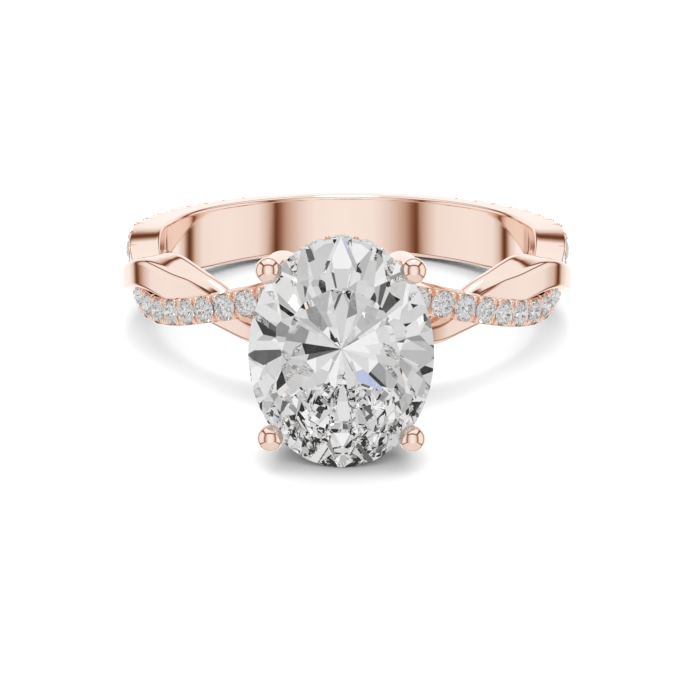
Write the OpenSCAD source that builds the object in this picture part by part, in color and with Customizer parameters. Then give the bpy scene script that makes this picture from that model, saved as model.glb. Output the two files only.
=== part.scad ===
// Twisted shank ring with an oval centre stone, pave shoulders and a hidden halo.
// It lies on its side: on the back edge of the shank and on the lower end of the head.
// Ring frame before it is laid down: the finger axis is Z and the head points to -Y.
// An angle round the finger is 0 at the head, 90 at the side and 180 at the back.

/* [Finger hole] */
// Inside diameter, US size 7
finger_d = 17.3; // [16:0.1:20]

/* [Shank] */
// Width of the shank along the finger
shank_w = 3.05; // [2.8:0.05:3.6]
// Thickness of the shank at the very back
back_t = 1.03; // [0.9:0.01:1.3]
// Thickness of the shank at its sides
side_t = 1.55; // [1.4:0.01:1.8]
// Bevel on the shank's inner and outer edges
edge_bevel = 0.2; // [0.1:0.02:0.26]
// Angle where the plain back ends and the two strands begin
strand_start = 98; // [96:1:110]

/* [Strands] */
// Width of the pave strand
pave_w = 1.24; // [1.2:0.02:1.4]
// Width of the polished strand at its hump
polished_w = 1.3; // [1.1:0.02:1.5]

/* [Pave stones] */
// Diameter of a pave stone
pave_d = 1.02; // [0.9:0.01:1.02]
// Distance between pave stones along the strand
pave_pitch = 1.16; // [1.16:0.01:1.3]
// Angle of the pave stone nearest the head
pave_first = 17.8; // [17:0.1:20]
// Angle of the last pave stone before the polished strand passes over
pave_front_last = 70; // [60:1:71]
// Angle of the first pave stone behind the polished strand
pave_back_first = 89; // [88:1:94]
// Angle of the last pave stone towards the back
pave_back_last = 143; // [110:1:160]

/* [Centre stone] */
// Width of the oval stone, across the finger
stone_w = 7.15; // [6.6:0.05:7.6]
// Length of the oval stone, along the finger
stone_l = 9.1; // [8.6:0.05:9.6]
// Distance from the finger axis to the stone's girdle
girdle_reach = 16.5; // [16.2:0.05:17.5]
// Thickness of the girdle
girdle_t = 0.16; // [0.1:0.02:0.3]
// Height of the crown above the girdle
crown_h = 0.95; // [0.7:0.05:1.2]
// Depth of the pavilion below the girdle
pavilion_h = 3; // [2.6:0.05:3.3]

/* [Prongs] */
// Diameter of the ball at a prong's tip
ball_d = 1.02; // [0.9:0.02:1.2]
// Diameter of a prong's wire
prong_d = 0.84; // [0.7:0.02:0.95]
// Distance of a ball's centre from the middle plane, across the finger
ball_x = 2.75; // [2.6:0.05:2.9]
// Distance of a ball's centre from the middle plane, along the finger
ball_z = 3.33; // [3.2:0.05:3.5]
// Height of a ball's centre above the girdle's plane
ball_lift = 0.15; // [0:0.05:0.3]

/* [Hidden halo] */
// Distance from the girdle's plane down to the middle of the halo rail
halo_drop = 1.3; // [1.15:0.05:1.5]
// Height of the halo rail
halo_h = 1.2; // [1.1:0.05:1.3]
// Thickness of the halo rail
halo_t = 0.6; // [0.5:0.05:0.7]
// How far the rail's outer wall stands inside the stone's outline
halo_inset = 0.35; // [0.25:0.01:0.4]
// Diameter of a halo stone
halo_d = 0.94; // [0.8:0.02:0.96]
// Distance between halo stones along the rail
halo_pitch = 1.1; // [1.1:0.01:1.2]
// How far a halo stone's girdle stands out of the rail
halo_lift = 0.05; // [0:0.01:0.1]

/* [Head base] */
// Radius of the base ring's centre line
base_r = 1.55; // [1.3:0.05:1.8]
// Diameter of the base ring's wire
base_wire = 0.95; // [0.8:0.05:1.1]

/* [Fit] */
// Gap between a stone and its metal
stone_gap = 0.04; // [0.02:0.01:0.06]

/* [Hidden] */
$fn = 96;

// Reach of the strands into the finger hole before it is bored
core_sink = 0.25;
// Depth of the strands' ends below the skin of the plain back
skin = 0.03;
// Overlap of cutting tools past a face
past = 0.5;
finger_r = finger_d / 2;
half_w = shank_w / 2;
gold = "#e6b39a";
gem = "#dfe3e6";

// Facets of the oval stone: how far out the table's corners, the crown's breaks and the
// pavilion's keels lie, as shares of the outline, and the number of steps round the girdle
table_share = 0.6;
break_share = 0.79;
keel_share = 0.24;
outline_steps = 64;
half_facet = outline_steps / 16;

// Outer wall of the plain back: a circle whose centre is shifted towards the head
back_r = finger_r + back_t;
side_r = finger_r + side_t;
wall_r = (side_r * side_r / back_r + back_r) / 2;
wall_shift = (side_r * side_r / back_r - back_r) / 2;
function wall_at(a) = wall_shift * cos(a) + sqrt(pow(wall_r, 2) - pow(wall_shift * sin(a), 2));

// A point of the ring from its angle, its distance from the finger axis and its height
function at(a, r, z) = [r * sin(a), -r * cos(a), z];

// Value of one column of a table at an angle, on a smooth curve through its rows
function row_at(table, a, i = 0) =
    i >= len(table) - 2 || a < table[i + 1][0] ? i : row_at(table, a, i + 1);
function tangent(table, c, i) =
    let (p = max(i - 1, 0), q = min(i + 1, len(table) - 1))
    (table[q][c] - table[p][c]) / (table[q][0] - table[p][0]);
function smooth(table, c, a) =
    let (i = row_at(table, a), h = table[i + 1][0] - table[i][0], t = (a - table[i][0]) / h)
    table[i][c] * (2 * t * t * t - 3 * t * t + 1)
    + tangent(table, c, i) * h * (t * t * t - 2 * t * t + t)
    + table[i + 1][c] * (3 * t * t - 2 * t * t * t)
    + tangent(table, c, i + 1) * h * (t * t * t - t * t);

// Pave strand. Columns: angle, outer wall as a share of side_t, middle as a share of half_w
PAVE_PATH = [
    [5, 0.98, 0.56],
    [12, 0.98, 0.45],
    [20, 0.97, 0.27],
    [30, 0.92, -0.03],
    [37, 0.88, -0.235],
    [43, 0.86, -0.41],
    [50, 0.84, -0.575],
    [57, 0.84, -0.68],
    [63, 0.84, -0.68],
    [69, 0.85, -0.55],
    [76, 0.86, -0.23],
    [83, 0.9, 0.16],
    [90, 0.95, 0.43],
    [96, 0.95, 0.56],
    [104, 0.92, 0.58]
];
function pave_r(a) = min(finger_r + side_t * smooth(PAVE_PATH, 1, a), wall_at(a) - skin);
function pave_z(a) = (half_w - pave_w / 2 - skin) * smooth(PAVE_PATH, 2, a) / 0.58;

// Polished strand. Radial columns are shares of side_t, heights are shares of half_w.
// Columns: angle, outer wall, bottom, ridge height, radius and height of the valley,
// radius of the inner crest, height of the inner crest
POLISHED_PATH = [
    [4, 0.6, -1.1, -0.62, 0.4, -0.6, 0.2, -0.58],
    [12, 0.6, -1.12, -0.6, 0.42, -0.56, 0.2, -0.54],
    [20, 0.6, -1.14, -0.57, 0.42, -0.5, 0.2, -0.46],
    [26, 0.58, -1.08, -0.5, 0.4, -0.32, 0.2, -0.26],
    [32, 0.56, -0.9, -0.2, 0.38, 0.04, 0.2, 0.12],
    [38, 0.57, -0.72, 0.14, 0.38, 0.38, 0.2, 0.44],
    [44, 0.66, -0.55, 0.4, 0.4, 0.58, 0.2, 0.64],
    [50, 0.78, -0.38, 0.53, 0.45, 0.66, 0.18, 0.8],
    [56, 0.9, -0.22, 0.66, 0.55, 0.68, 0.16, 0.9],
    [62, 1, -0.16, 0.72, 0.75, 0.74, 0.18, 0.86],
    [68, 1.1, -0.22, 0.6, 0.9, 0.62, 0.3, 0.66],
    [75, 1.16, -0.42, 0.34, 0.95, 0.36, 0.4, 0.38],
    [82, 1.12, -0.68, 0.12, 0.9, 0.14, 0.4, 0.16],
    [90, 1.04, -0.88, 0.02, 0.8, 0.04, 0.3, 0.06],
    [97, 0.95, -0.96, 0.12, 0.7, 0.14, 0.3, 0.16],
    [104, 0.9, -0.96, 0.18, 0.7, 0.2, 0.3, 0.22]
];
// Share by which the polished strand is as wide as its width says
width_share = polished_w / 1.3;
function polished_r(a) = finger_r + side_t * smooth(POLISHED_PATH, 1, a);
function polished_z(c, a) =
    let (middle = (smooth(POLISHED_PATH, 2, a) + smooth(POLISHED_PATH, 3, a)) / 2)
    half_w * (middle + (smooth(POLISHED_PATH, c, a) - middle) * width_share);

// Section of the pave strand: its middle, its outer wall and a bevel at every corner
function pave_section(a) =
    let (r = pave_r(a), z = pave_z(a), h = pave_w / 2, b = edge_bevel, i = finger_r + skin)
    [
        at(a, i, z - h + b),
        at(a, i + b, z - h),
        at(a, r - b / 2, z - h),
        at(a, r, z - h + b / 2),
        at(a, r, z + h - b / 2),
        at(a, r - b / 2, z + h),
        at(a, i + b, z + h),
        at(a, i, z + h - b)
    ];

// Section of the polished strand, from its inner bottom edge round its outer wall
function polished_section(a) =
    let (r = polished_r(a), low = polished_z(2, a), ridge = polished_z(3, a),
        crest = polished_z(7, a), b = edge_bevel, i = finger_r + skin)
    [
        at(a, i, low + b),
        at(a, i + b, low),
        at(a, r - b, low),
        at(a, r, low + b),
        at(a, r, ridge - b / 2),
        at(a, r - b / 2, ridge),
        at(a, finger_r + side_t * smooth(POLISHED_PATH, 4, a), polished_z(5, a)),
        at(a, finger_r + side_t * smooth(POLISHED_PATH, 6, a), crest),
        at(a, i + b / 2, crest),
        at(a, i, crest - b / 2)
    ];

// Solid through a list of rings that have the same number of points
module loft(rings) {
    n = len(rings[0]);
    m = len(rings);
    points = [for (ring = rings) for (p = ring) p];
    sides = [for (i = [0 : m - 2]) for (j = [0 : n - 1])
        let (k = (j + 1) % n)
        each [
            [i * n + j, (i + 1) * n + j, i * n + k],
            [i * n + k, (i + 1) * n + j, (i + 1) * n + k]
        ]];
    start = [[for (j = [0 : n - 1]) j]];
    end = [[for (j = [n - 1 : -1 : 0]) (m - 1) * n + j]];
    polyhedron(points, concat(start, sides, end), convexity = 10);
}

// Angles of the rings along a strand, from the plain back to the head
strand_end = strand_start + 5;
ring_step = 3;
function ring_angles(last) =
    let (n = ceil((strand_end - last) / ring_step))
    [for (i = [0 : n]) strand_end - (strand_end - last) * i / n];

module pave_strand() {
    loft([for (a = ring_angles(PAVE_PATH[0][0])) pave_section(a)]);
}

module polished_strand() {
    loft([for (a = ring_angles(POLISHED_PATH[0][0])) polished_section(a)]);
}

// Plain back of the shank, between the starts of the strands on both sides
module plain_back() {
    arc = 360 - 2 * strand_start;
    difference() {
        intersection() {
            translate([0, -wall_shift, 0])
                rotate_extrude($fn = 180)
                    polygon([
                        [finger_r - 2, -half_w],
                        [wall_r - edge_bevel, -half_w],
                        [wall_r, -half_w + edge_bevel],
                        [wall_r, half_w - edge_bevel],
                        [wall_r - edge_bevel, half_w],
                        [finger_r - 2, half_w]
                    ]);
            rotate([0, 0, 90 - arc / 2])
                rotate_extrude(angle = arc, $fn = 180)
                    translate([finger_r - 1, -half_w - past])
                        square([side_t + 4, shank_w + 2 * past]);
        }
        for (side = [0, 1])
            mirror([0, 0, side])
                translate([0, 0, half_w - edge_bevel - core_sink])
                    cylinder(h = edge_bevel + core_sink + past, r1 = finger_r - core_sink,
                        r2 = finger_r + edge_bevel + past);
        cylinder(h = 2 * shank_w, r = finger_r, center = true, $fn = 180);
    }
}

// Prong: a wire from the base ring to a knee under the halo, then up to its ball
knee_reach = girdle_reach - halo_drop - halo_h / 2 - 0.2;
base_reach = finger_r + base_wire / 2 + 0.35;
function prong_foot() = [base_r * 0.74, -base_reach, base_r * 0.74];
knee_in = 0.45;
function prong_knee() = [ball_x - knee_in, -knee_reach, ball_z];
function prong_tip() = [ball_x, -girdle_reach - ball_lift, ball_z];
function prong_at(reach) =
    let (p = prong_knee(), q = prong_tip()) p + (q - p) * (reach + p[1]) / (p[1] - q[1]);

module wire(p, q, d) {
    v = q - p;
    l = norm(v);
    translate(p)
        rotate([0, acos(v[2] / l), atan2(v[1], v[0])])
            cylinder(h = l, d = d, $fn = 32);
}

module prong() {
    wire(prong_foot(), prong_knee(), prong_d);
    translate(prong_knee())
        sphere(d = prong_d + 2 * skin, $fn = 32);
    wire(prong_knee(), prong_tip(), prong_d);
    translate(prong_tip())
        sphere(d = ball_d, $fn = 48);
}

// A ring of points on an oval that faces the head, at a distance from the finger axis
oval_steps = 48;
function oval(w, l, reach) =
    [for (i = [0 : oval_steps - 1])
        let (t = 360 * i / oval_steps)
        [w / 2 * cos(t), -reach, l / 2 * sin(t)]];

halo_w = stone_w - 2 * halo_inset;
halo_l = stone_l - 2 * halo_inset;
halo_reach = girdle_reach - halo_drop;

module oval_block(w, l, low, high) {
    loft([oval(w, l, low), oval(w, l, high)]);
}

module halo_rail() {
    low = halo_reach - halo_h / 2;
    high = halo_reach + halo_h / 2;
    difference() {
        oval_block(halo_w, halo_l, low, high);
        oval_block(halo_w - 2 * halo_t, halo_l - 2 * halo_t, low - past, high + past);
    }
}

// Places of the halo stones: equal steps along the rail, apart from those under a prong
function oval_point(t) = [halo_w / 2 * cos(t), halo_l / 2 * sin(t)];
oval_lengths = [for (t = 0, s = 0; t <= 360;
    s = s + norm(oval_point(t + 1) - oval_point(t)), t = t + 1) [s, t]];
oval_total = oval_lengths[360][0];
function clear_of_prong(p) =
    let (q = prong_at(halo_reach))
    norm([abs(p[0]) - q[0], abs(p[1]) - q[2]]) > (prong_d + halo_d) / 2 + stone_gap;
halo_angles = [for (middle = [0 : 90 : 270])
    for (i = [-3 : 3])
        let (s = oval_total * (middle + 360) / 360 + i * halo_pitch,
            t = lookup(s % oval_total, oval_lengths))
        if (abs(i) * halo_pitch < oval_total / 8 && clear_of_prong(oval_point(t)))
            t];

module at_halo() {
    for (t = halo_angles) {
        p = oval_point(t);
        translate([p[0], -halo_reach, p[1]])
            rotate([0, atan2(halo_l * cos(t), halo_w * sin(t)), 0])
                translate([0, 0, halo_lift])
                    children();
    }
}

// Places of the pave stones: equal steps along the middle of the pave strand
pave_lengths = [for (a = pave_first, s = 0; a <= pave_back_last + 12;
    s = s + norm(pave_point(a + 1) - pave_point(a)), a = a + 1) [s, a]];
function pave_point(a) = at(a, pave_seat_r(a), pave_seat_z(a));
function pave_seat_r(a) = a < strand_start ? pave_r(a) : wall_at(a) - skin;
function pave_seat_z(a) = pave_z(min(a, strand_end));
pave_start_back = lookup(pave_back_first, [for (p = pave_lengths) [p[1], p[0]]]);
function pave_run(start, last) =
    [for (s = start; lookup(s, pave_lengths) <= last; s = s + pave_pitch) lookup(s, pave_lengths)];
pave_angles = concat(pave_run(0, pave_front_last), pave_run(pave_start_back, pave_back_last));

module at_pave() {
    for (a = pave_angles)
        translate(pave_point(a))
            rotate([0, 0, a])
                rotate([90, 0, 0])
                    children();
}

// Small round stone with eight sides, its table level with the metal.
// Heights are shares of its diameter.
small_crown = 0.13;
small_girdle = 0.04;
small_pavilion = 0.42;
small_table = 0.29;
module small_stone(d) {
    function ring(r, z) = [for (i = [0 : 7]) [r * cos(45 * i), r * sin(45 * i), z]];
    top = small_crown * d;
    loft([
        ring(0.02 * d, -(small_girdle + small_pavilion) * d),
        ring(d / 2, -small_girdle * d),
        ring(d / 2, 0),
        ring(small_table * d, top)
    ]);
}

// Pocket for a small stone: a cone that is stone_gap wider than the girdle where it meets it
module small_pocket(d) {
    wide = d / 2 + stone_gap;
    deep = (small_girdle + small_pavilion) * d + stone_gap;
    narrow = 0.1 * d;
    straight = small_girdle * d;
    out = wide + (wide - narrow) * (past + straight) / (deep - straight);
    translate([0, 0, -deep])
        cylinder(h = deep + past, r1 = narrow, r2 = out, $fn = 24);
}

// Ring at the foot of the head, round the prongs' feet
module base_ring() {
    translate([0, -base_reach, 0])
        rotate([90, 0, 0])
            rotate_extrude($fn = 64)
                translate([base_r, 0])
                    circle(d = base_wire, $fn = 32);
}

module ring_metal() {
    plain_back();
    base_ring();
    halo_rail();
    for (side = [0, 1])
        mirror([side, 0, 0]) {
            pave_strand();
            polished_strand();
            for (end = [0, 1])
                mirror([0, 0, end])
                    prong();
        }
}

// Lowest front point and back edge carry the ring when it lies on its side
rest_back_r = back_r - edge_bevel;
stone_slope = (stone_l / 2 - half_w) / (girdle_reach - girdle_t / 2 + rest_back_r);
halo_low = halo_l / 2 + halo_lift + small_crown * halo_d;
halo_slope = (halo_low - half_w) / (halo_reach - small_table * halo_d + rest_back_r);
tilt = atan(max(stone_slope, halo_slope));
rest_height = rest_back_r * sin(tilt) + half_w * cos(tilt);
far_back = back_r * cos(tilt) + (half_w - edge_bevel) * sin(tilt);
far_front = (girdle_reach + girdle_t / 2 + crown_h) * cos(tilt)
    + stone_l * table_share / 2 * sin(tilt);

module laid_down() {
    translate([0, (far_front - far_back) / 2, rest_height])
        rotate([-tilt, 0, 0])
            children();
}

module ring_body() {
    color(gold)
        laid_down()
            difference() {
                ring_metal();
                for (side = [0, 1])
                    mirror([side, 0, 0])
                        at_pave() small_pocket(pave_d);
                at_halo() small_pocket(halo_d);
                oval_stone(stone_gap);
            }
}

// Height at (x, y) of the plane through three points
function plane_height(p, q, r, x, y) =
    let (n = cross(q - p, r - p)) p[2] - (n[0] * (x - p[0]) + n[1] * (y - p[1])) / n[2];
function spoke(share, a, z) = [share * cos(a), share * sin(a), z];

// Oval brilliant. A radius is a share of the outline, a height is in millimetres
// from the middle of the girdle. grow makes it larger all round.
module oval_stone(grow = 0) {
    mid = girdle_t / 2;
    rise = crown_h / (1 - table_share);
    fall = pavilion_h;
    break_z = mid + (1 - break_share * cos(22.5)) * rise;
    keel_z = -mid - (1 - keel_share * cos(22.5)) * fall;
    // Girdle edge at step i, on the plane of its half facet
    edge = function (i, share, z, side)
        let (k = floor(i / half_facet), a = 22.5 * k,
            centre = k % 2 == 0 ? a + 22.5 : a)
        plane_height(spoke(share, centre, z), spoke(1, a, side * mid),
            spoke(1, a + 22.5, side * mid), cos(i * 360 / outline_steps),
            sin(i * 360 / outline_steps));
    table = [for (i = [0 : 7]) spoke(table_share, 45 * i, mid + crown_h)];
    breaks = [for (i = [0 : 7]) spoke(break_share, 45 * i + 22.5, break_z)];
    upper = [for (i = [0 : outline_steps - 1])
        spoke(1, i * 360 / outline_steps, edge(i, break_share, break_z, 1))];
    lower = [for (i = [0 : outline_steps - 1])
        spoke(1, i * 360 / outline_steps, edge(i, keel_share, keel_z, -1))];
    keels = [for (i = [0 : 7]) spoke(keel_share, 45 * i + 22.5, keel_z)];
    culet = [[0, 0, -mid - fall]];
    u = 16;
    l = u + outline_steps;
    d = l + outline_steps;
    c = d + 8;
    n = outline_steps;
    faces = concat(
        [[for (i = [0 : 7]) i]],
        [for (i = [0 : 7]) [i, 8 + i, (i + 1) % 8]],
        [for (i = [0 : 7]) [i, 8 + (i + 7) % 8, u + i * 2 * half_facet, 8 + i]],
        [for (k = [0 : 15]) let (b = 8 + floor(k / 2))
            concat([b], [for (j = [0 : half_facet]) u + (k * half_facet + j) % n])],
        [for (i = [0 : n - 1]) [u + i, l + i, l + (i + 1) % n, u + (i + 1) % n]],
        [for (k = [0 : 15]) let (b = d + floor(k / 2))
            concat([b], [for (j = [half_facet : -1 : 0]) l + (k * half_facet + j) % n])],
        [for (i = [0 : 7]) [c, d + i, l + i * 2 * half_facet, d + (i + 7) % 8]]
    );
    flat = concat(table, breaks, upper, lower, keels, culet);
    sx = stone_w / 2 + grow;
    sz = stone_l / 2 + grow;
    out = [for (p = flat) [p[0] * sx, -girdle_reach - p[2] - grow * sign(p[2]), p[1] * sz]];
    polyhedron(out, [for (f = faces) [for (i = [len(f) - 1 : -1 : 0]) f[i]]], convexity = 4);
}

module centre_stone() {
    color(gem) laid_down() oval_stone();
}

module right_pave_stones() {
    color(gem) laid_down() at_pave() small_stone(pave_d);
}

module left_pave_stones() {
    color(gem) laid_down() mirror([1, 0, 0]) at_pave() small_stone(pave_d);
}

module halo_stones() {
    color(gem) laid_down() at_halo() small_stone(halo_d);
}

ring_body();
centre_stone();
left_pave_stones();
right_pave_stones();
halo_stones();
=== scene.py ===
# Twisted shank ring in rose gold, lying on its side on a white studio floor.
# The metal is swept from the measures of the solids, with rounded edges, cut seats and beads,
# and the small stones are full round brilliants. Lengths are millimetres in the ring's own
# frame (finger axis Z, head towards -Y) until a mesh is placed on the floor, in metres.
# Angles round the finger are degrees from the head.
import bpy
import bmesh
import bisect
import math
from mathutils import Matrix, Vector


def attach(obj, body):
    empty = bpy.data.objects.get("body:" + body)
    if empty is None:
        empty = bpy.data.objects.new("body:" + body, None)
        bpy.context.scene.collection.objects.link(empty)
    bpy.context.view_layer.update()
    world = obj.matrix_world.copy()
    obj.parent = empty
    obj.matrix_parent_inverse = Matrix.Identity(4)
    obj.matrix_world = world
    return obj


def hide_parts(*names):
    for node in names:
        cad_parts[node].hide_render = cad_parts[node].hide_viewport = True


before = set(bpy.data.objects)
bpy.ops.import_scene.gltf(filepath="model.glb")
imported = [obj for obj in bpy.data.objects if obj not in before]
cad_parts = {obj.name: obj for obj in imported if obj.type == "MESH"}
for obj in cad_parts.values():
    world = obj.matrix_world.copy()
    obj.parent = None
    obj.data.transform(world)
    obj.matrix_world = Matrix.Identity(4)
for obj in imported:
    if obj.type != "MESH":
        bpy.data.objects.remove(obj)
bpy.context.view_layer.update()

# Shank: the finger hole, half the width, and the outer wall at the sides and the back.
# The inner faces stand back from the hole by a clearance, and lean a little at the back.
# An edge is the radius of a rounded corner.
FINGER_R = 8.65
HALF_W = 1.525
SIDE_T = 1.55
BACK_R = 9.68
SIDE_R = 10.2
WALL_LEAN = 0.05
BAND_CLEAR = 0.01
STRAND_CLEAR = 0.012
PLAIN_EDGE = 0.2
PAVE_EDGE = 0.09
PAVE_INNER_EDGE = 0.16
STRAND_EDGE = 0.2
RIDGE_EDGE = 0.35
VALLEY_EDGE = 4.0
CREST_EDGE = 0.3
CREST_INNER_EDGE = 0.1
CREST_DROP = 0.03
WALL_R = (SIDE_R * SIDE_R / BACK_R + BACK_R) / 2
WALL_SHIFT = (SIDE_R * SIDE_R / BACK_R - BACK_R) / 2

# Angles where the sweeps start, where the pave strand grows into the full band, and past
# which the upper edge of the pave is the rim of the band
SWEEP_STEP = 0.75
BAND_FROM = 5
BAND_RINGS = 467
STRAND_FROM = 4
STRAND_RINGS = 136
SPLIT = 104
SPLIT_LEVEL = 103
BLEND_TO = 103.5
BLEND_RUN = 7
RIM_FROM = 97

# Pave: strand, stones, seats, notches in its edges and beads that hold the stones
PAVE_W = 1.24
PAVE_D = 1.02
PAVE_PITCH = 1.16
FRONT_FROM, FRONT_TO = 17.8, 70.2
REAR_FROM, REAR_TO = 89.0, 143.0
SKIN = 0.03
SEAT_GAP = 0.05
SEAT_FLARE = 0.3
SEAT_RISE = 0.26
SEAT_FOOT_R, SEAT_FOOT_Z = 0.12, -0.52
EDGE_NOTCH = {"half": 0.15, "deep": 0.4, "reach": 0.36}
RIM_NOTCH = {"half": 0.2, "deep": 0.5, "reach": 0.34}
NOTCH_CLEAR = 0.1
NOTCH_INSET = 0.05
BEAD_R = 0.125
BEAD_APART = 0.17
BEAD_SUNK = 0.02
BEAD_INSET = 0.2
RIM_BEAD_INSET = 0.07

# Head: centre stone, base ring, prongs with their balls, and the hidden halo
STONE_W = 7.15
STONE_L = 9.1
STONE_GAP = 0.03
GIRDLE_REACH = 16.5
BASE_R = 1.55
BASE_REACH = 9.475
BASE_WIRE_R = 0.475
PRONG_D = 0.84
PRONG_STEPS = 24
PRONG_FOOT = (1.147, -BASE_REACH, 1.147)
PRONG_KNEE = (2.3, -14.5, 3.33)
PRONG_TIP = (2.75, -16.65, 3.33)
BALL_D = 1.02
BALL_FORWARD = Vector((0, -0.2, 0.04))
HALO_REACH = 15.2
HALO_W = 6.45
HALO_L = 8.4
HALO_H = 1.2
HALO_T = 0.6
HALO_D = 0.94
HALO_PITCH = 1.1
HALO_ROWS = (5, 3, 5, 3)
HALO_LIFT = 0.05
HALO_INNER_EDGE = 0.1
HALO_OUTER_EDGE = 0.12
HALO_BEAD_R = 0.13
HALO_BEAD_OUT = 0.36
HALO_BEAD_LIFT = 0.02

# Half width of the floor in metres
FLOOR_HALF = 0.6

# Place of the ring as it lies on the halo and on the back of the band
TILT = math.radians(6.6617)
RING_CENTRE = (0.0, 3.98, 2.61445)
PLACE = (Matrix.Scale(0.001, 4) @ Matrix.Translation(RING_CENTRE)
         @ Matrix.Rotation(-TILT, 4, "X"))

# Mesh: a guard point beside each rounded edge keeps the flats flat under smooth shading.
# Balls have a number of segments around and from pole to pole.
GUARD = 0.03
CORNER_STEPS = 5
SHARP = 35
BEAD_SHARP = 60
BEAD_MESH = (16, 10)
BALL_MESH = (64, 40)
BASE_STEPS = 96
RAIL_STEPS = 180

# Pave strand: angle, outer wall as a share of SIDE_T, middle as a share of HALF_W
PAVE_PATH = [
    (5, 0.98, 0.56), (12, 0.98, 0.45), (20, 0.97, 0.27), (30, 0.92, -0.03),
    (37, 0.88, -0.235), (43, 0.86, -0.41), (50, 0.84, -0.575), (57, 0.84, -0.68),
    (63, 0.84, -0.68), (69, 0.85, -0.55), (76, 0.86, -0.23), (83, 0.9, 0.16),
    (90, 0.95, 0.43), (96, 0.95, 0.56), (104, 0.92, 0.58)]

# Polished strand: angle, outer wall, bottom, ridge, valley radius and height,
# crest radius and height; radii as shares of SIDE_T, heights as shares of HALF_W
POLISHED_PATH = [
    (4, 0.6, -1.1, -0.62, 0.4, -0.6, 0.2, -0.58),
    (12, 0.6, -1.12, -0.6, 0.42, -0.56, 0.2, -0.54),
    (20, 0.6, -1.14, -0.57, 0.42, -0.5, 0.2, -0.46),
    (26, 0.58, -1.08, -0.5, 0.4, -0.32, 0.2, -0.26),
    (32, 0.56, -0.9, -0.2, 0.38, 0.04, 0.2, 0.12),
    (38, 0.57, -0.72, 0.14, 0.38, 0.38, 0.2, 0.44),
    (44, 0.66, -0.55, 0.4, 0.4, 0.58, 0.2, 0.64),
    (50, 0.78, -0.38, 0.53, 0.45, 0.66, 0.18, 0.8),
    (56, 0.9, -0.22, 0.66, 0.55, 0.75, 0.16, 0.9),
    (62, 1, -0.16, 0.72, 0.66, 0.775, 0.18, 0.86),
    (68, 1.1, -0.22, 0.6, 0.78, 0.64, 0.3, 0.66),
    (75, 1.16, -0.42, 0.34, 0.7, 0.37, 0.36, 0.38),
    (82, 1.12, -0.68, 0.12, 0.62, 0.15, 0.32, 0.16),
    (90, 1.04, -0.88, 0.02, 0.58, 0.05, 0.28, 0.06),
    (97, 0.95, -0.96, 0.12, 0.7, 0.14, 0.3, 0.16),
    (104, 0.9, -0.96, 0.18, 0.7, 0.2, 0.3, 0.22)]

# Centre stone, in half widths: table height, depth of the uncut disc below the girdle, then
# rows of facets as count, turn, lean in degrees, and the radius and height that the row
# passes through, with 1 for the crown and -1 for the pavilion
CENTRE_TOP = 0.287
CENTRE_DEEP = 1.2
CENTRE_FACETS = [
    (16, 0.5, 38.0, 1.0, 0.022, 1), (8, 0.0, 34.0, 1.0, 0.036, 1), (8, 0.5, 22.0, 0.61, 0.287, 1),
    (16, 0.5, 45.0, 1.0, -0.022, -1), (16, 0.0, 43.0, 1.0, -0.036, -1)]

# Small stones, in shares of their diameter: radius and height of each ring of corners
BRILLIANT = {
    "table": (0.28, 0.13), "star": (0.39, 0.075), "girdle": (0.5, 0.0),
    "under": (0.5, -0.035), "keel": (0.15, -0.3404), "culet": (0.0, -0.46)}


# Curves
def wall_at(a):
    """Radius of the outer wall of the band at an angle."""
    a = math.radians(a)
    return WALL_SHIFT * math.cos(a) + math.sqrt(WALL_R ** 2 - (WALL_SHIFT * math.sin(a)) ** 2)


def at(a, r, z):
    a = math.radians(a)
    return Vector((r * math.sin(a), -r * math.cos(a), z))


def smooth(table, column, a):
    """Value of a column at an angle, on a smooth curve through the rows of a table."""
    a = min(max(a, table[0][0]), table[-1][0])
    i = 0
    while i < len(table) - 2 and a >= table[i + 1][0]:
        i += 1

    def slope(k):
        p, q = max(k - 1, 0), min(k + 1, len(table) - 1)
        return (table[q][column] - table[p][column]) / (table[q][0] - table[p][0])

    h = table[i + 1][0] - table[i][0]
    t = (a - table[i][0]) / h
    return (table[i][column] * (2 * t ** 3 - 3 * t * t + 1)
            + slope(i) * h * (t ** 3 - 2 * t * t + t)
            + table[i + 1][column] * (3 * t * t - 2 * t ** 3)
            + slope(i + 1) * h * (t ** 3 - t * t))


def ease(x):
    x = min(max(x, 0.0), 1.0)
    return x * x * (3 - 2 * x)


def pave_r(a):
    """Outer radius of the pave strand, kept inside the wall of the band."""
    if a > SPLIT:
        return wall_at(a) - SKIN
    return min(FINGER_R + SIDE_T * smooth(PAVE_PATH, 1, a), wall_at(a) - SKIN)


def pave_z(a):
    """Height of the middle of the pave, which ends along the upper edge of the band."""
    level = smooth(PAVE_PATH, 2, min(a, SPLIT_LEVEL))
    return (HALF_W - PAVE_W / 2 - SKIN) * level / PAVE_PATH[-1][2]


def pave_point(a):
    return at(a, pave_r(a), pave_z(a))


def oval_point(t):
    """Point of the halo's outer edge."""
    return Vector((HALO_W / 2 * math.cos(t), -HALO_REACH, HALO_L / 2 * math.sin(t)))


def oval_normal(t):
    return Vector((math.cos(t) / HALO_W, 0, math.sin(t) / HALO_L)).normalized()


# Places of the stones
def frame_at(origin, normal, along):
    """Matrix whose Z is the normal and whose X runs along."""
    z = normal.normalized()
    x = (along - z * along.dot(z)).normalized()
    y = z.cross(x)
    m = Matrix((x, y, z)).transposed().to_4x4()
    m.translation = origin
    return m


def stone_angles(first, last):
    """Angles of the stones, a pitch apart along the strand."""
    fine = 0.1
    angles = [first]
    a, walked = first, 0.0
    here = pave_point(a)
    while a < last:
        ahead = pave_point(a + fine)
        walked += (ahead - here).length
        a += fine
        here = ahead
        if walked >= PAVE_PITCH and a <= last:
            angles.append(a)
            walked -= PAVE_PITCH
    return angles


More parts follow.
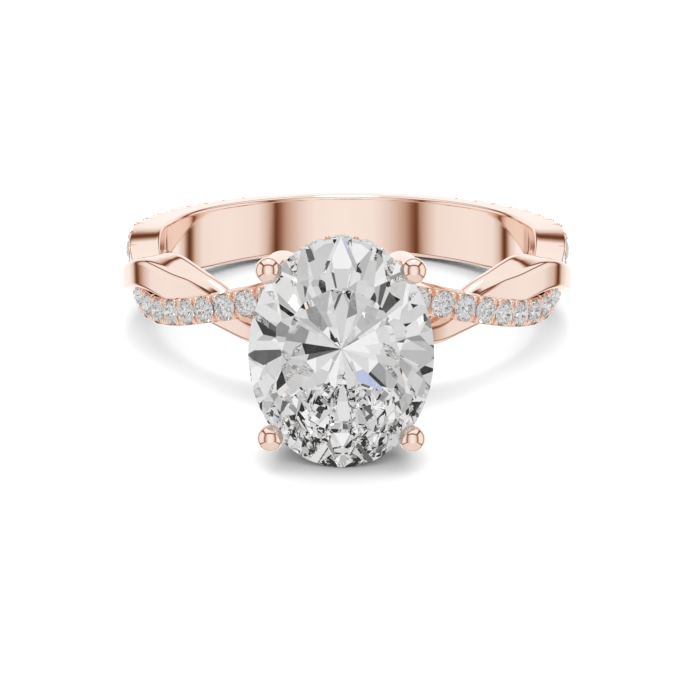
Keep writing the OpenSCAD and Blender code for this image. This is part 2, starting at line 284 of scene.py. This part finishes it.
FRONT = stone_angles(FRONT_FROM, FRONT_TO)
REAR = stone_angles(REAR_FROM, REAR_TO)


def gaps(angles):
    """Angles between the stones, with one before the first stone and one after the last."""
    between = [(p + q) / 2 for p, q in zip(angles, angles[1:])]
    before = angles[0] - (angles[1] - angles[0]) / 2
    after = angles[-1] + (angles[-1] - angles[-2]) / 2
    return [before] + between + [after]


def pave_frame(a, side):
    """Frame of a stone: Z out of the wall, X along the strand. side is 1 right, -1 left."""
    p = pave_point(a)
    along = pave_point(a + 0.5) - pave_point(a - 0.5)
    normal = at(a, 1, 0)
    p, along, normal = [Vector((side * v.x, v.y, v.z)) for v in (p, along, normal)]
    return frame_at(p, normal, along)


def pave_edges():
    """Both ends of each gap in the pave, as its frame, the way out and what lies there."""
    for side in (1, -1):
        for a in gaps(FRONT) + gaps(REAR):
            for end in (1, -1):
                kind = "edge"
                if a > RIM_FROM:
                    kind = "rim" if end > 0 else "inside"
                yield pave_frame(a, side), end * side, kind


def halo_places(offset=0.0):
    """Turns of the halo's stones: rows of 5 at the sides of the oval, 3 at its ends."""
    steps = 3600
    turns = [math.tau * i / steps for i in range(steps + 1)]
    walked = [0.0]
    for t0, t1 in zip(turns, turns[1:]):
        walked.append(walked[-1] + (oval_point(t1) - oval_point(t0)).length)
    total = walked[-1]
    places = []
    for quarter, count in enumerate(HALO_ROWS):
        for i in range(count):
            s = total * quarter / 4 + (i - (count - 1) / 2 + offset) * HALO_PITCH
            places.append(turns[bisect.bisect_right(walked, s % total) - 1])
    return places


def halo_frame(t, out=0.0):
    normal = oval_normal(t)
    return frame_at(oval_point(t) + normal * out, normal, Vector((0, 1, 0)).cross(normal))


# Mesh helpers
def rounded(corners):
    """Outline of (r, z) corners, each with its own radius, as a list of points."""
    out = []
    n = len(corners)
    for i, (x, y, rad) in enumerate(corners):
        p = Vector((x, y))
        u = Vector(corners[i - 1][:2]) - p
        v = Vector(corners[(i + 1) % n][:2]) - p
        lu, lv = u.length, v.length
        u.normalize()
        v.normalize()
        bend = math.acos(max(-1.0, min(1.0, u.dot(v))))
        reach = min(rad / max(math.tan(bend / 2), 0.05), 0.45 * lu, 0.45 * lv)
        p0, p1 = p + u * reach, p + v * reach
        out.append(p0 + u * min(GUARD, 0.2 * (lu - reach)))
        for k in range(CORNER_STEPS + 1):
            t = k / CORNER_STEPS
            out.append(p0 * (1 - t) ** 2 + p * 2 * t * (1 - t) + p1 * t * t)
        out.append(p1 + v * min(GUARD, 0.2 * (lv - reach)))
    return out


def finish_mesh(mesh, sharp):
    """Smooth shading that breaks at edges sharper than an angle; 0 leaves all facets flat."""
    for poly in mesh.polygons:
        poly.use_smooth = sharp > 0
    if sharp > 0:
        mesh.set_sharp_from_angle(angle=math.radians(sharp))


def new_object(name, bm, place=True, sharp=SHARP):
    bmesh.ops.recalc_face_normals(bm, faces=bm.faces)
    mesh = bpy.data.meshes.new(name)
    bm.to_mesh(mesh)
    bm.free()
    if place:
        mesh.transform(PLACE)
    finish_mesh(mesh, sharp)
    obj = bpy.data.objects.new(name, mesh)
    bpy.context.scene.collection.objects.link(obj)
    return obj


def put_down(obj):
    """Place a mesh that was cut in the ring's own frame."""
    obj.data.transform(PLACE)
    finish_mesh(obj.data, SHARP)


def circle(n, r, turn=0.0):
    """Points of a circle as (x, y)."""
    angles = [math.tau * (k + turn) / n for k in range(n)]
    return [(r * math.cos(t), r * math.sin(t)) for t in angles]


def add_sweep(bm, rings, closed=False):
    rows = [[bm.verts.new(p) for p in ring] for ring in rings]
    n = len(rows[0])
    m = len(rows)
    for i in range(m if closed else m - 1):
        a, b = rows[i], rows[(i + 1) % m]
        for j in range(n):
            k = (j + 1) % n
            bm.faces.new((a[j], b[j], b[k], a[k]))
    if not closed:
        bm.faces.new(rows[0])
        bm.faces.new(list(reversed(rows[-1])))


def add_ball(bm, centre, r, segments):
    bmesh.ops.create_uvsphere(bm, u_segments=segments[0], v_segments=segments[1], radius=r,
                              matrix=Matrix.Translation(centre))


def add_tube(bm, path, r, sides=28):
    rings = []
    last = None
    for i, p in enumerate(path):
        d = (path[min(i + 1, len(path) - 1)] - path[max(i - 1, 0)]).normalized()
        x = last if last is not None else d.orthogonal()
        x = (x - d * x.dot(d)).normalized()
        last = x
        y = d.cross(x)
        rings.append([p + (x * u + y * v) * r for u, v in circle(sides, 1.0)])
    add_sweep(bm, rings)


def cut(obj, cutter):
    """Take one closed mesh out of another, and delete it."""
    mod = obj.modifiers.new("cut", "BOOLEAN")
    mod.operation = "DIFFERENCE"
    mod.object = cutter
    mod.solver = "MANIFOLD"
    graph = bpy.context.evaluated_depsgraph_get()
    mesh = bpy.data.meshes.new_from_object(obj.evaluated_get(graph))
    obj.modifiers.remove(mod)
    old = obj.data
    obj.data = mesh
    bpy.data.meshes.remove(old)
    bpy.data.objects.remove(cutter)


def add_seat(bm, m, d):
    """Conical seat of a small stone, flared above its girdle."""
    rows = [(SEAT_FOOT_R * d, SEAT_FOOT_Z * d), (d / 2 + SEAT_GAP + SEAT_FLARE, SEAT_RISE)]
    add_sweep(bm, [[m @ Vector((x, y, z)) for x, y in circle(32, r)] for r, z in rows])


# Stones
def add_brilliant(bm, m, d):
    """Round brilliant, girdle at the origin, table towards +Z."""
    def ring(n, part, turn=0.0):
        r, z = BRILLIANT[part]
        return [bm.verts.new(m @ Vector((x, y, z * d))) for x, y in circle(n, r * d, turn)]

    table = ring(8, "table")
    star = ring(8, "star", 0.5)
    upper = ring(16, "girdle")
    lower = ring(16, "under")
    keel = ring(8, "keel", 0.5)
    tip = ring(1, "culet")[0]
    bm.faces.new(table)
    for k in range(8):
        n = (k + 1) % 8
        bm.faces.new((table[k], star[k], table[n]))
        bm.faces.new((table[k], star[k - 1], upper[2 * k], star[k]))
        bm.faces.new((star[k], upper[2 * k], upper[2 * k + 1]))
        bm.faces.new((star[k], upper[2 * k + 1], upper[(2 * k + 2) % 16]))
        bm.faces.new((keel[k], lower[2 * k + 1], lower[2 * k]))
        bm.faces.new((keel[k], lower[(2 * k + 2) % 16], lower[2 * k + 1]))
        bm.faces.new((tip, keel[k], lower[2 * k], keel[k - 1]))
    for k in range(16):
        n = (k + 1) % 16
        bm.faces.new((upper[k], lower[k], lower[n], upper[n]))


def make_stones(name, frames, d):
    bm = bmesh.new()
    for m in frames:
        add_brilliant(bm, m, d)
    return new_object(name, bm, sharp=0)


def trim(bm, turn, lean, r, z, up):
    """Cut a facet at a turn, which leans by an angle and passes through (r, z)."""
    t = math.radians(lean)
    normal = Vector((math.cos(turn) * math.sin(t), math.sin(turn) * math.sin(t), up * math.cos(t)))
    through = Vector((r * math.cos(turn), r * math.sin(turn), z))
    geom = bm.verts[:] + bm.edges[:] + bm.faces[:]
    made = bmesh.ops.bisect_plane(bm, geom=geom, dist=1e-6, plane_co=through, plane_no=normal,
                                  clear_outer=True)
    rim = [g for g in made["geom_cut"] if isinstance(g, bmesh.types.BMEdge)]
    if rim:
        bmesh.ops.contextual_create(bm, geom=rim)


def centre_oval(grow=0.0):
    """Oval brilliant cut facet by facet from a disc of radius 1, then stretched to size."""
    bm = bmesh.new()
    middle = Matrix.Translation((0, 0, (CENTRE_TOP - CENTRE_DEEP) / 2))
    bmesh.ops.create_cone(bm, cap_ends=True, segments=64, radius1=1, radius2=1,
                          depth=CENTRE_TOP + CENTRE_DEEP, matrix=middle)
    for count, turn, lean, r, z, up in CENTRE_FACETS:
        for k in range(count):
            trim(bm, math.tau * (k + turn) / count, lean, r, z, up)
    bmesh.ops.remove_doubles(bm, verts=bm.verts, dist=1e-5)
    w = STONE_W / 2 + grow
    h = STONE_L / 2 + grow
    bm.transform(Matrix(((w, 0, 0, 0), (0, 0, -w, -GIRDLE_REACH), (0, h, 0, 0), (0, 0, 0, 1))))
    return bm


# Shank
def band_section(a):
    """Section of the band and, in front of the split, of the pave strand."""
    s = ease((BLEND_TO - a) / BLEND_RUN)
    r = pave_r(a) + SKIN * (1 - s)
    top = pave_z(a) + PAVE_W / 2
    hi = top * s + HALF_W * (1 - s)
    lo = (pave_z(a) - PAVE_W / 2) * s - HALF_W * (1 - s)
    edge = PAVE_EDGE * s + PLAIN_EDGE * (1 - s)
    inner = PAVE_INNER_EDGE * s + PLAIN_EDGE * (1 - s)
    i = FINGER_R + BAND_CLEAR
    lean = WALL_LEAN * (1 - s)
    return rounded([(i + lean, lo, inner), (r, lo, edge), (r, hi, edge), (i - lean, hi, inner)])


def polished_section(a):
    """Section of the polished strand: outer wall, ridge, valley and crest."""
    i = FINGER_R + STRAND_CLEAR
    r, valley, crest = [FINGER_R + SIDE_T * smooth(POLISHED_PATH, c, a) for c in (1, 4, 6)]
    bottom, ridge_z, valley_z, crest_z = [HALF_W * smooth(POLISHED_PATH, c, a)
                                          for c in (2, 3, 5, 7)]
    return rounded([
        (i, bottom, STRAND_EDGE), (r, bottom, STRAND_EDGE), (r, ridge_z, RIDGE_EDGE),
        (valley, valley_z, VALLEY_EDGE), (crest, crest_z, CREST_EDGE),
        (i, crest_z - CREST_DROP, CREST_INNER_EDGE)])


def ring_of(section, a, side):
    out = [at(a, p.x, p.y) for p in section(a)]
    return [Vector((side * p.x, p.y, p.z)) for p in out]


def add_notch(bm, m, up, kind):
    """V cut in the edge of the pave between two stones."""
    size = RIM_NOTCH if kind == "rim" else EDGE_NOTCH
    half, deep = size["half"], size["deep"]
    edge = up * PAVE_W / 2
    out = edge + up * NOTCH_CLEAR
    apex = out if kind == "rim" else edge - up * NOTCH_INSET
    end = edge - up * size["reach"]
    wide = [(-half, out, NOTCH_CLEAR), (half, out, NOTCH_CLEAR), (0, apex, -deep)]
    slim = [(-half * 0.5, end, NOTCH_CLEAR), (half * 0.5, end, NOTCH_CLEAR), (0, end, -deep * 0.3)]
    add_sweep(bm, [[m @ Vector(p) for p in row] for row in (wide, slim)])


def make_band():
    """Band with its two pave strands, swept in one piece, then cut by seats and notches."""
    bm = bmesh.new()
    rings = []
    for i in range(BAND_RINGS):
        a = BAND_FROM + SWEEP_STEP * i
        side = 1 if a <= 180 else -1
        rings.append(ring_of(band_section, a if side > 0 else 360 - a, side))
    add_sweep(bm, rings)
    band = new_object("band", bm, place=False)
    seats = bmesh.new()
    for side in (1, -1):
        for a in FRONT + REAR:
            add_seat(seats, pave_frame(a, side), PAVE_D)
    cut(band, new_object("cutter", seats, place=False))
    notches = bmesh.new()
    for m, up, kind in pave_edges():
        if kind != "inside":
            add_notch(notches, m, up, kind)
    cut(band, new_object("cutter", notches, place=False))
    put_down(band)
    return band


def make_polished(name, side):
    """Polished strand, cut by the front seats where it passes close to the stones."""
    bm = bmesh.new()
    angles = [STRAND_FROM + SWEEP_STEP * i for i in range(STRAND_RINGS)]
    add_sweep(bm, [ring_of(polished_section, a, side) for a in angles])
    strand = new_object(name, bm, place=False)
    seats = bmesh.new()
    for a in FRONT:
        add_seat(seats, pave_frame(a, side), PAVE_D)
    cut(strand, new_object("cutter", seats, place=False))
    put_down(strand)
    return strand


def make_pave_beads():
    """Two beads at each end of each gap between pave stones."""
    bm = bmesh.new()
    for m, up, kind in pave_edges():
        out_to = PAVE_W / 2 - (RIM_BEAD_INSET if kind == "rim" else BEAD_INSET)
        for step in (-1, 1):
            p = m @ Vector((step * BEAD_APART, up * out_to, -BEAD_SUNK))
            add_ball(bm, p, BEAD_R, BEAD_MESH)
    return new_object("pave_beads", bm, sharp=BEAD_SHARP)


# Head
def make_base():
    """Round wire ring that joins the strands to the prongs."""
    bm = bmesh.new()
    rings = []
    for i in range(BASE_STEPS):
        t = math.tau * i / BASE_STEPS
        c = Vector((BASE_R * math.cos(t), -BASE_REACH, BASE_R * math.sin(t)))
        out = Vector((math.cos(t), 0, math.sin(t)))
        back = Vector((0, 1, 0))
        rings.append([c + (out * u + back * v) * BASE_WIRE_R for u, v in circle(32, 1.0)])
    add_sweep(bm, rings, closed=True)
    return new_object("head_base", bm)


def prong_path(foot, knee, tip):
    """Curve from the base ring up the side of the head, then straight to the tip."""
    pull_in = foot.lerp(knee, 0.55)
    pull_out = knee.lerp(tip, -0.27)
    end = knee.lerp(tip, 0.45)
    path = []
    for k in range(PRONG_STEPS + 1):
        t = k / PRONG_STEPS
        path.append(foot * (1 - t) ** 3 + pull_in * 3 * t * (1 - t) ** 2
                    + pull_out * 3 * t * t * (1 - t) + end * t ** 3)
    return path + [tip]


def make_prongs():
    """Four prongs, each with a ball at its tip."""
    made = []
    for sx, across in ((1, "right"), (-1, "left")):
        for sz, level in ((1, "upper"), (-1, "lower")):
            foot, knee, tip = [Vector((sx * x, y, sz * z))
                               for x, y, z in (PRONG_FOOT, PRONG_KNEE, PRONG_TIP)]
            bm = bmesh.new()
            add_tube(bm, prong_path(foot, knee, tip), PRONG_D / 2)
            made.append(new_object("prong_%s_%s" % (across, level), bm))
            bm = bmesh.new()
            add_ball(bm, tip + BALL_FORWARD, BALL_D / 2, BALL_MESH)
            made.append(new_object("prong_ball_%s_%s" % (across, level), bm))
    return made


def make_rail():
    """Oval rail of the halo, with a seat for each stone."""
    low, high = -HALO_H / 2, HALO_H / 2
    outline = rounded([(-HALO_T, low, HALO_INNER_EDGE), (0, low, HALO_OUTER_EDGE),
                       (0, high, HALO_OUTER_EDGE), (-HALO_T, high, HALO_INNER_EDGE)])
    bm = bmesh.new()
    rings = []
    for i in range(RAIL_STEPS):
        t = math.tau * i / RAIL_STEPS
        p = oval_point(t)
        n = oval_normal(t)
        rings.append([p + n * q.x + Vector((0, -1, 0)) * q.y for q in outline])
    add_sweep(bm, rings, closed=True)
    rail = new_object("halo_rail", bm, place=False)
    seats = bmesh.new()
    for t in halo_places():
        add_seat(seats, halo_frame(t, HALO_LIFT), HALO_D)
    cut(rail, new_object("cutter", seats, place=False))
    rail.data.transform(PLACE)
    return rail


def seat_centre(pieces):
    """Clear the place of the centre stone in the metal round it."""
    for piece in pieces:
        cut(piece, new_object("cutter", centre_oval(STONE_GAP)))
        finish_mesh(piece.data, SHARP)


def make_halo_beads():
    bm = bmesh.new()
    for offset in (-0.5, 0.5):
        for t in halo_places(offset):
            m = halo_frame(t)
            for end in (1, -1):
                p = m @ Vector((0, end * HALO_BEAD_OUT, HALO_BEAD_LIFT))
                add_ball(bm, p, HALO_BEAD_R, BEAD_MESH)
    return new_object("halo_beads", bm, sharp=BEAD_SHARP)


# Materials
DIAMOND_IOR = 2.42


def add_node(tree, kind, values=None):
    node = tree.nodes.new(kind)
    for name, value in (values or {}).items():
        node.inputs[name].default_value = value
    return node


def new_material(name):
    material = bpy.data.materials.new(name)
    material.use_nodes = True
    return material, material.node_tree


def two_tone(tree, noise, dark, light):
    """Colour that varies between two tones with a noise."""
    ramp = add_node(tree, "ShaderNodeValToRGB")
    ramp.color_ramp.elements[0].color = dark + (1,)
    ramp.color_ramp.elements[1].color = light + (1,)
    tree.links.new(noise.outputs["Fac"], ramp.inputs["Fac"])
    tree.links.new(ramp.outputs["Color"], tree.nodes["Principled BSDF"].inputs["Base Color"])


def gold_material():
    """Polished rose gold, with a trace of unevenness in colour and gloss."""
    material, tree = new_material("rose_gold_polished")
    metal = tree.nodes["Principled BSDF"]
    metal.inputs["Metallic"].default_value = 1.0
    coord = add_node(tree, "ShaderNodeTexCoord")
    noise = add_node(tree, "ShaderNodeTexNoise", {"Scale": 900.0, "Detail": 4.0})
    tree.links.new(coord.outputs["Object"], noise.inputs["Vector"])
    two_tone(tree, noise, (0.94, 0.765, 0.675), (0.955, 0.785, 0.695))
    rough = add_node(tree, "ShaderNodeMapRange", {"To Min": 0.04, "To Max": 0.075})
    tree.links.new(noise.outputs["Fac"], rough.inputs["Value"])
    tree.links.new(rough.outputs["Result"], metal.inputs["Roughness"])
    return material


def diamond_material(name):
    """Clear and sharp inside, with a surface gloss held back so that facets stay distinct."""
    material, tree = new_material(name)
    tree.nodes.clear()
    out = add_node(tree, "ShaderNodeOutputMaterial")
    mirror = add_node(tree, "ShaderNodeBsdfGlossy", {"Color": (1, 1, 1, 1), "Roughness": 0.0})
    inside = add_node(tree, "ShaderNodeBsdfRefraction",
                      {"Color": (0.98, 0.98, 0.98, 1), "IOR": DIAMOND_IOR, "Roughness": 0.0})
    fresnel = add_node(tree, "ShaderNodeFresnel", {"IOR": DIAMOND_IOR})
    less = add_node(tree, "ShaderNodeMapRange", {"From Min": 0.17, "To Min": 0.03})
    mix = add_node(tree, "ShaderNodeMixShader")
    tree.links.new(fresnel.outputs[0], less.inputs["Value"])
    tree.links.new(less.outputs[0], mix.inputs[0])
    tree.links.new(inside.outputs[0], mix.inputs[1])
    tree.links.new(mirror.outputs[0], mix.inputs[2])
    tree.links.new(mix.outputs[0], out.inputs["Surface"])
    return material


def floor_material():
    material, tree = new_material("white_floor")
    paper = tree.nodes["Principled BSDF"]
    paper.inputs["Roughness"].default_value = 0.9
    paper.inputs["Specular IOR Level"].default_value = 0.2
    noise = add_node(tree, "ShaderNodeTexNoise", {"Scale": 40.0})
    two_tone(tree, noise, (0.88, 0.88, 0.88), (0.9, 0.9, 0.9))
    return material


# Assembly
def dress(obj, material, node):
    obj.data.materials.clear()
    obj.data.materials.append(material)
    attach(obj, "root")
    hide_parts(node)


def make_ring():
    band = make_band()
    strands = [make_polished("polished_strand_right", 1), make_polished("polished_strand_left", -1)]
    pave_beads = make_pave_beads()
    base = make_base()
    prongs = make_prongs()
    rail = make_rail()
    seat_centre([rail] + prongs)
    halo_beads = make_halo_beads()
    gold = gold_material()
    for obj in [band, pave_beads, base, rail, halo_beads] + strands + prongs:
        obj.visible_transmission = False
        dress(obj, gold, "ring_body")

    pave = FRONT + REAR
    right_stones = make_stones("right_pave", [pave_frame(a, 1) for a in pave], PAVE_D)
    left_stones = make_stones("left_pave", [pave_frame(a, -1) for a in pave], PAVE_D)
    halo_frames = [halo_frame(t, HALO_LIFT) for t in halo_places()]
    halo_stones = make_stones("halo_brilliants", halo_frames, HALO_D)
    centre = new_object("centre_oval", centre_oval(), sharp=0)
    small = diamond_material("small_diamond")
    dress(right_stones, small, "right_pave_stones")
    dress(left_stones, small, "left_pave_stones")
    dress(halo_stones, small, "halo_stones")
    dress(centre, diamond_material("centre_diamond"), "centre_stone")


def make_floor():
    """White floor, left out of reflections and of what is seen through the stones."""
    bm = bmesh.new()
    bmesh.ops.create_grid(bm, x_segments=1, y_segments=1, size=FLOOR_HALF)
    floor = new_object("floor", bm, place=False, sharp=0)
    floor.data.materials.append(floor_material())
    floor.visible_glossy = False
    floor.visible_transmission = False


make_ring()
make_floor()

# The studio is a room of bright walls with dark seams where they meet, turned to face the
# photograph's camera. Half width, distance to the front and back walls, height and depth:
ROOM_X, ROOM_FRONT, ROOM_BACK, ROOM_TOP, ROOM_BOTTOM = 1.6, 1.39, 1.0, 1.55, 1.1
ROOM_TILT = math.radians(19.1)
ROOM_YAW = math.radians(4.0)
LEVEL = {"front": 1.0, "side": 1.0, "top": 1.05, "bottom": 0.88, "back": 1.08}
FLOOR_LIGHT = 2.2

# Brightness of a wall from its middle at 0 to the seam at 1
CRISP = [(0.0, 1.0), (0.74, 0.96), (0.85, 0.5), (0.93, 0.16), (1.0, 0.08)]
BROAD = [(0.0, 1.0), (0.55, 0.96), (0.78, 0.72), (0.9, 0.32), (0.96, 0.14), (1.0, 0.1)]
THIN = [(0.0, 1.0), (0.95, 0.97), (0.98, 0.35), (1.0, 0.3)]
SOFT = [(0.0, 1.0), (0.33, 0.97), (0.52, 0.83), (0.76, 0.58), (0.9, 0.32), (1.0, 0.16)]
WIDE = [(0.0, 1.0), (0.55, 0.97), (0.67, 0.85), (0.80, 0.68), (0.90, 0.5), (0.96, 0.24),
        (1.0, 0.2)]

# Tone of the seams in the metal, which darken through brown as they lose light
WARM = [
    (0.0, (0.02, 0.004, 0.002)), (0.28, (0.28, 0.125, 0.07)), (0.62, (0.62, 0.47, 0.39)),
    (1.0, (1, 1, 1))]

# Light for the rays that have passed through a stone: patches of many shades, so that each
# facet shows one clear shade, with a few tinted ones for the fire
PATCHES = [
    (0.0, (0.0, 0.0, 0.0)), (0.045, (0.1, 0.1, 0.1)), (0.09, (0.3, 0.3, 0.3)),
    (0.2, (0.5, 0.5, 0.5)), (0.33, (0.62, 0.62, 0.62)), (0.409, (0.5, 0.56, 0.78)),
    (0.414, (0.66, 0.66, 0.66)), (0.5, (0.72, 0.72, 0.72)), (0.62, (0.98, 0.84, 0.76)),
    (0.63, (0.79, 0.79, 0.79)), (0.86, (0.92, 0.92, 0.92))]

world = bpy.data.worlds.new("studio")
world.use_nodes = True
studio = world.node_tree


def math_node(op, *values):
    node = add_node(studio, "ShaderNodeMath")
    node.operation = op
    for k, v in enumerate(values):
        if isinstance(v, (int, float)):
            node.inputs[k].default_value = v
        else:
            studio.links.new(v, node.inputs[k])
    return node.outputs[0]


def times(*values):
    out = values[0]
    for v in values[1:]:
        out = math_node("MULTIPLY", out, v)
    return out


def plus(*values):
    out = values[0]
    for v in values[1:]:
        out = math_node("ADD", out, v)
    return out


def share(a, b):
    return math_node("DIVIDE", a, b)


def larger(a, b):
    return math_node("MAXIMUM", a, b)


def unless(flag):
    return math_node("SUBTRACT", 1.0, flag)


def colours(value, stops, steps=False):
    """Colour along a value from 0 to 1, as a list of (place, colour)."""
    node = add_node(studio, "ShaderNodeValToRGB")
    ramp = node.color_ramp
    if steps:
        ramp.interpolation = "CONSTANT"
    while len(ramp.elements) < len(stops):
        ramp.elements.new(0.5)
    for stop, (place, colour) in zip(ramp.elements, stops):
        stop.position = place
        stop.color = colour + (1,)
    studio.links.new(value, node.inputs["Fac"])
    return node.outputs["Color"]


def curve(value, stops):
    """Brightness along a value from 0 to 1, as a list of (place, brightness)."""
    return colours(value, [(place, (grey, grey, grey)) for place, grey in stops])


def switch(flag, otherwise, chosen):
    """One colour for the rays that have a flag, and another for the rest."""
    node = add_node(studio, "ShaderNodeMix")
    node.data_type = "RGBA"
    studio.links.new(flag, node.inputs["Factor"])
    studio.links.new(otherwise, node.inputs["A"])
    studio.links.new(chosen, node.inputs["B"])
    return node.outputs["Result"]


def room_brightness(direction):
    """Brightness of the studio's walls in a direction."""
    turned = add_node(studio, "ShaderNodeVectorRotate", {"Angle": ROOM_TILT})
    turned.rotation_type = "X_AXIS"
    studio.links.new(direction, turned.inputs["Vector"])
    split = add_node(studio, "ShaderNodeSeparateXYZ")
    studio.links.new(turned.outputs["Vector"], split.inputs[0])
    x, y, z = split.outputs
    x = plus(x, times(y, math.tan(ROOM_YAW)))
    ahead = math_node("LESS_THAN", y, 0.0)
    above = math_node("GREATER_THAN", z, 0.0)
    behind = unless(ahead)
    below = unless(above)

    a = share(math_node("ABSOLUTE", x), ROOM_X)
    b = larger(share(y, -ROOM_FRONT), share(y, ROOM_BACK))
    c = larger(share(z, ROOM_TOP), share(z, -ROOM_BOTTOM))
    on_side = math_node("GREATER_THAN", a, larger(b, c))
    on_level = math_node("GREATER_THAN", c, larger(a, b))
    on_end = unless(plus(on_side, on_level))

    ab, ba = share(a, b), share(b, a)
    ac, ca = share(a, c), share(c, a)
    bc, cb = share(b, c), share(c, b)
    front = times(on_end, ahead, curve(ab, SOFT), larger(curve(cb, CRISP), below), LEVEL["front"])
    back = times(on_end, behind, curve(ab, BROAD), curve(cb, BROAD), LEVEL["back"])
    side = times(on_side, larger(curve(ba, WIDE), behind), larger(curve(ba, BROAD), ahead),
                 curve(ca, CRISP), LEVEL["side"])
    top = times(on_level, above, curve(ac, CRISP), curve(bc, CRISP), LEVEL["top"])
    bottom = times(on_level, below, curve(ac, THIN), larger(curve(bc, THIN), ahead),
                   LEVEL["bottom"])
    return plus(front, back, side, top, bottom)


def light_studio():
    """Light by kind of ray: warm seams in the metal, patches in the stones, bright on the floor."""
    direction = add_node(studio, "ShaderNodeTexCoord").outputs["Generated"]
    ray = add_node(studio, "ShaderNodeLightPath").outputs
    brightness = room_brightness(direction)
    lit = add_node(studio, "ShaderNodeVectorMath")
    lit.operation = "SCALE"
    studio.links.new(colours(brightness, WARM), lit.inputs[0])
    studio.links.new(larger(brightness, 1.0), lit.inputs["Scale"])
    in_metal = switch(ray["Is Glossy Ray"], brightness, lit.outputs[0])

    cells = add_node(studio, "ShaderNodeTexVoronoi", {"Scale": 8.0})
    studio.links.new(direction, cells.inputs["Vector"])
    pick = add_node(studio, "ShaderNodeSeparateColor")
    studio.links.new(cells.outputs["Color"], pick.inputs[0])
    patches = colours(pick.outputs[0], PATCHES, steps=True)
    in_stone = switch(ray["Is Transmission Ray"], in_metal, patches)

    on_floor = add_node(studio, "ShaderNodeMix")
    on_floor.data_type = "RGBA"
    on_floor.blend_type = "MULTIPLY"
    on_floor.inputs["B"].default_value = (FLOOR_LIGHT, FLOOR_LIGHT, FLOOR_LIGHT, 1)
    studio.links.new(ray["Is Diffuse Ray"], on_floor.inputs["Factor"])
    studio.links.new(in_stone, on_floor.inputs["A"])
    studio.links.new(on_floor.outputs["Result"], studio.nodes["Background"].inputs["Color"])
    bpy.context.scene.world = world


light_studio()

# Many bounces inside the stones, and a floor lit by the studio alone, so that its shadows
# stay neutral
cycles = bpy.context.scene.cycles
cycles.max_bounces = 18
cycles.glossy_bounces = 16
cycles.transmission_bounces = 16
cycles.diffuse_bounces = 0


def make_key():
    """Small lamp above and behind the ring, in metres."""
    lamp = bpy.data.lights.new("key", "AREA")
    lamp.shape = "RECTANGLE"
    lamp.size = 0.05
    lamp.size_y = 0.05
    lamp.energy = 0.05
    key = bpy.data.objects.new("key", lamp)
    key.location = (0.0, 0.06, 0.2)
    key.rotation_euler = (-key.location).to_track_quat("-Z", "Y").to_euler()
    bpy.context.scene.collection.objects.link(key)


# Camera in the ring's own frame: its place, its axes, and its focal length as a share of
# the picture's width
EYE = Vector((1.31152, -89.77221, 19.80388))
LOOK = Vector((-0.01282971, 0.96583103, -0.25885484))
RIGHT = Vector((0.99991178, 0.01328242, 0.0))
UP = Vector((-0.00343822, 0.258832, 0.96591624))
FOCAL_SHARE = 1972.8 / 700.0
SENSOR = 36.0


def make_camera():
    lens = bpy.data.cameras.new("camera")
    lens.sensor_width = SENSOR
    lens.lens = FOCAL_SHARE * SENSOR
    lens.clip_start = 0.005
    lens.clip_end = 5.0
    camera = bpy.data.objects.new("camera", lens)
    bpy.context.scene.collection.objects.link(camera)
    turn = Matrix.Rotation(-TILT, 3, "X")
    axes = Matrix((turn @ RIGHT, turn @ UP, -(turn @ LOOK))).transposed()
    camera.matrix_world = Matrix.Translation(PLACE @ EYE) @ axes.to_4x4()
    bpy.context.scene.camera = camera
    bpy.context.scene.view_settings.view_transform = "Standard"


make_key()
make_camera()
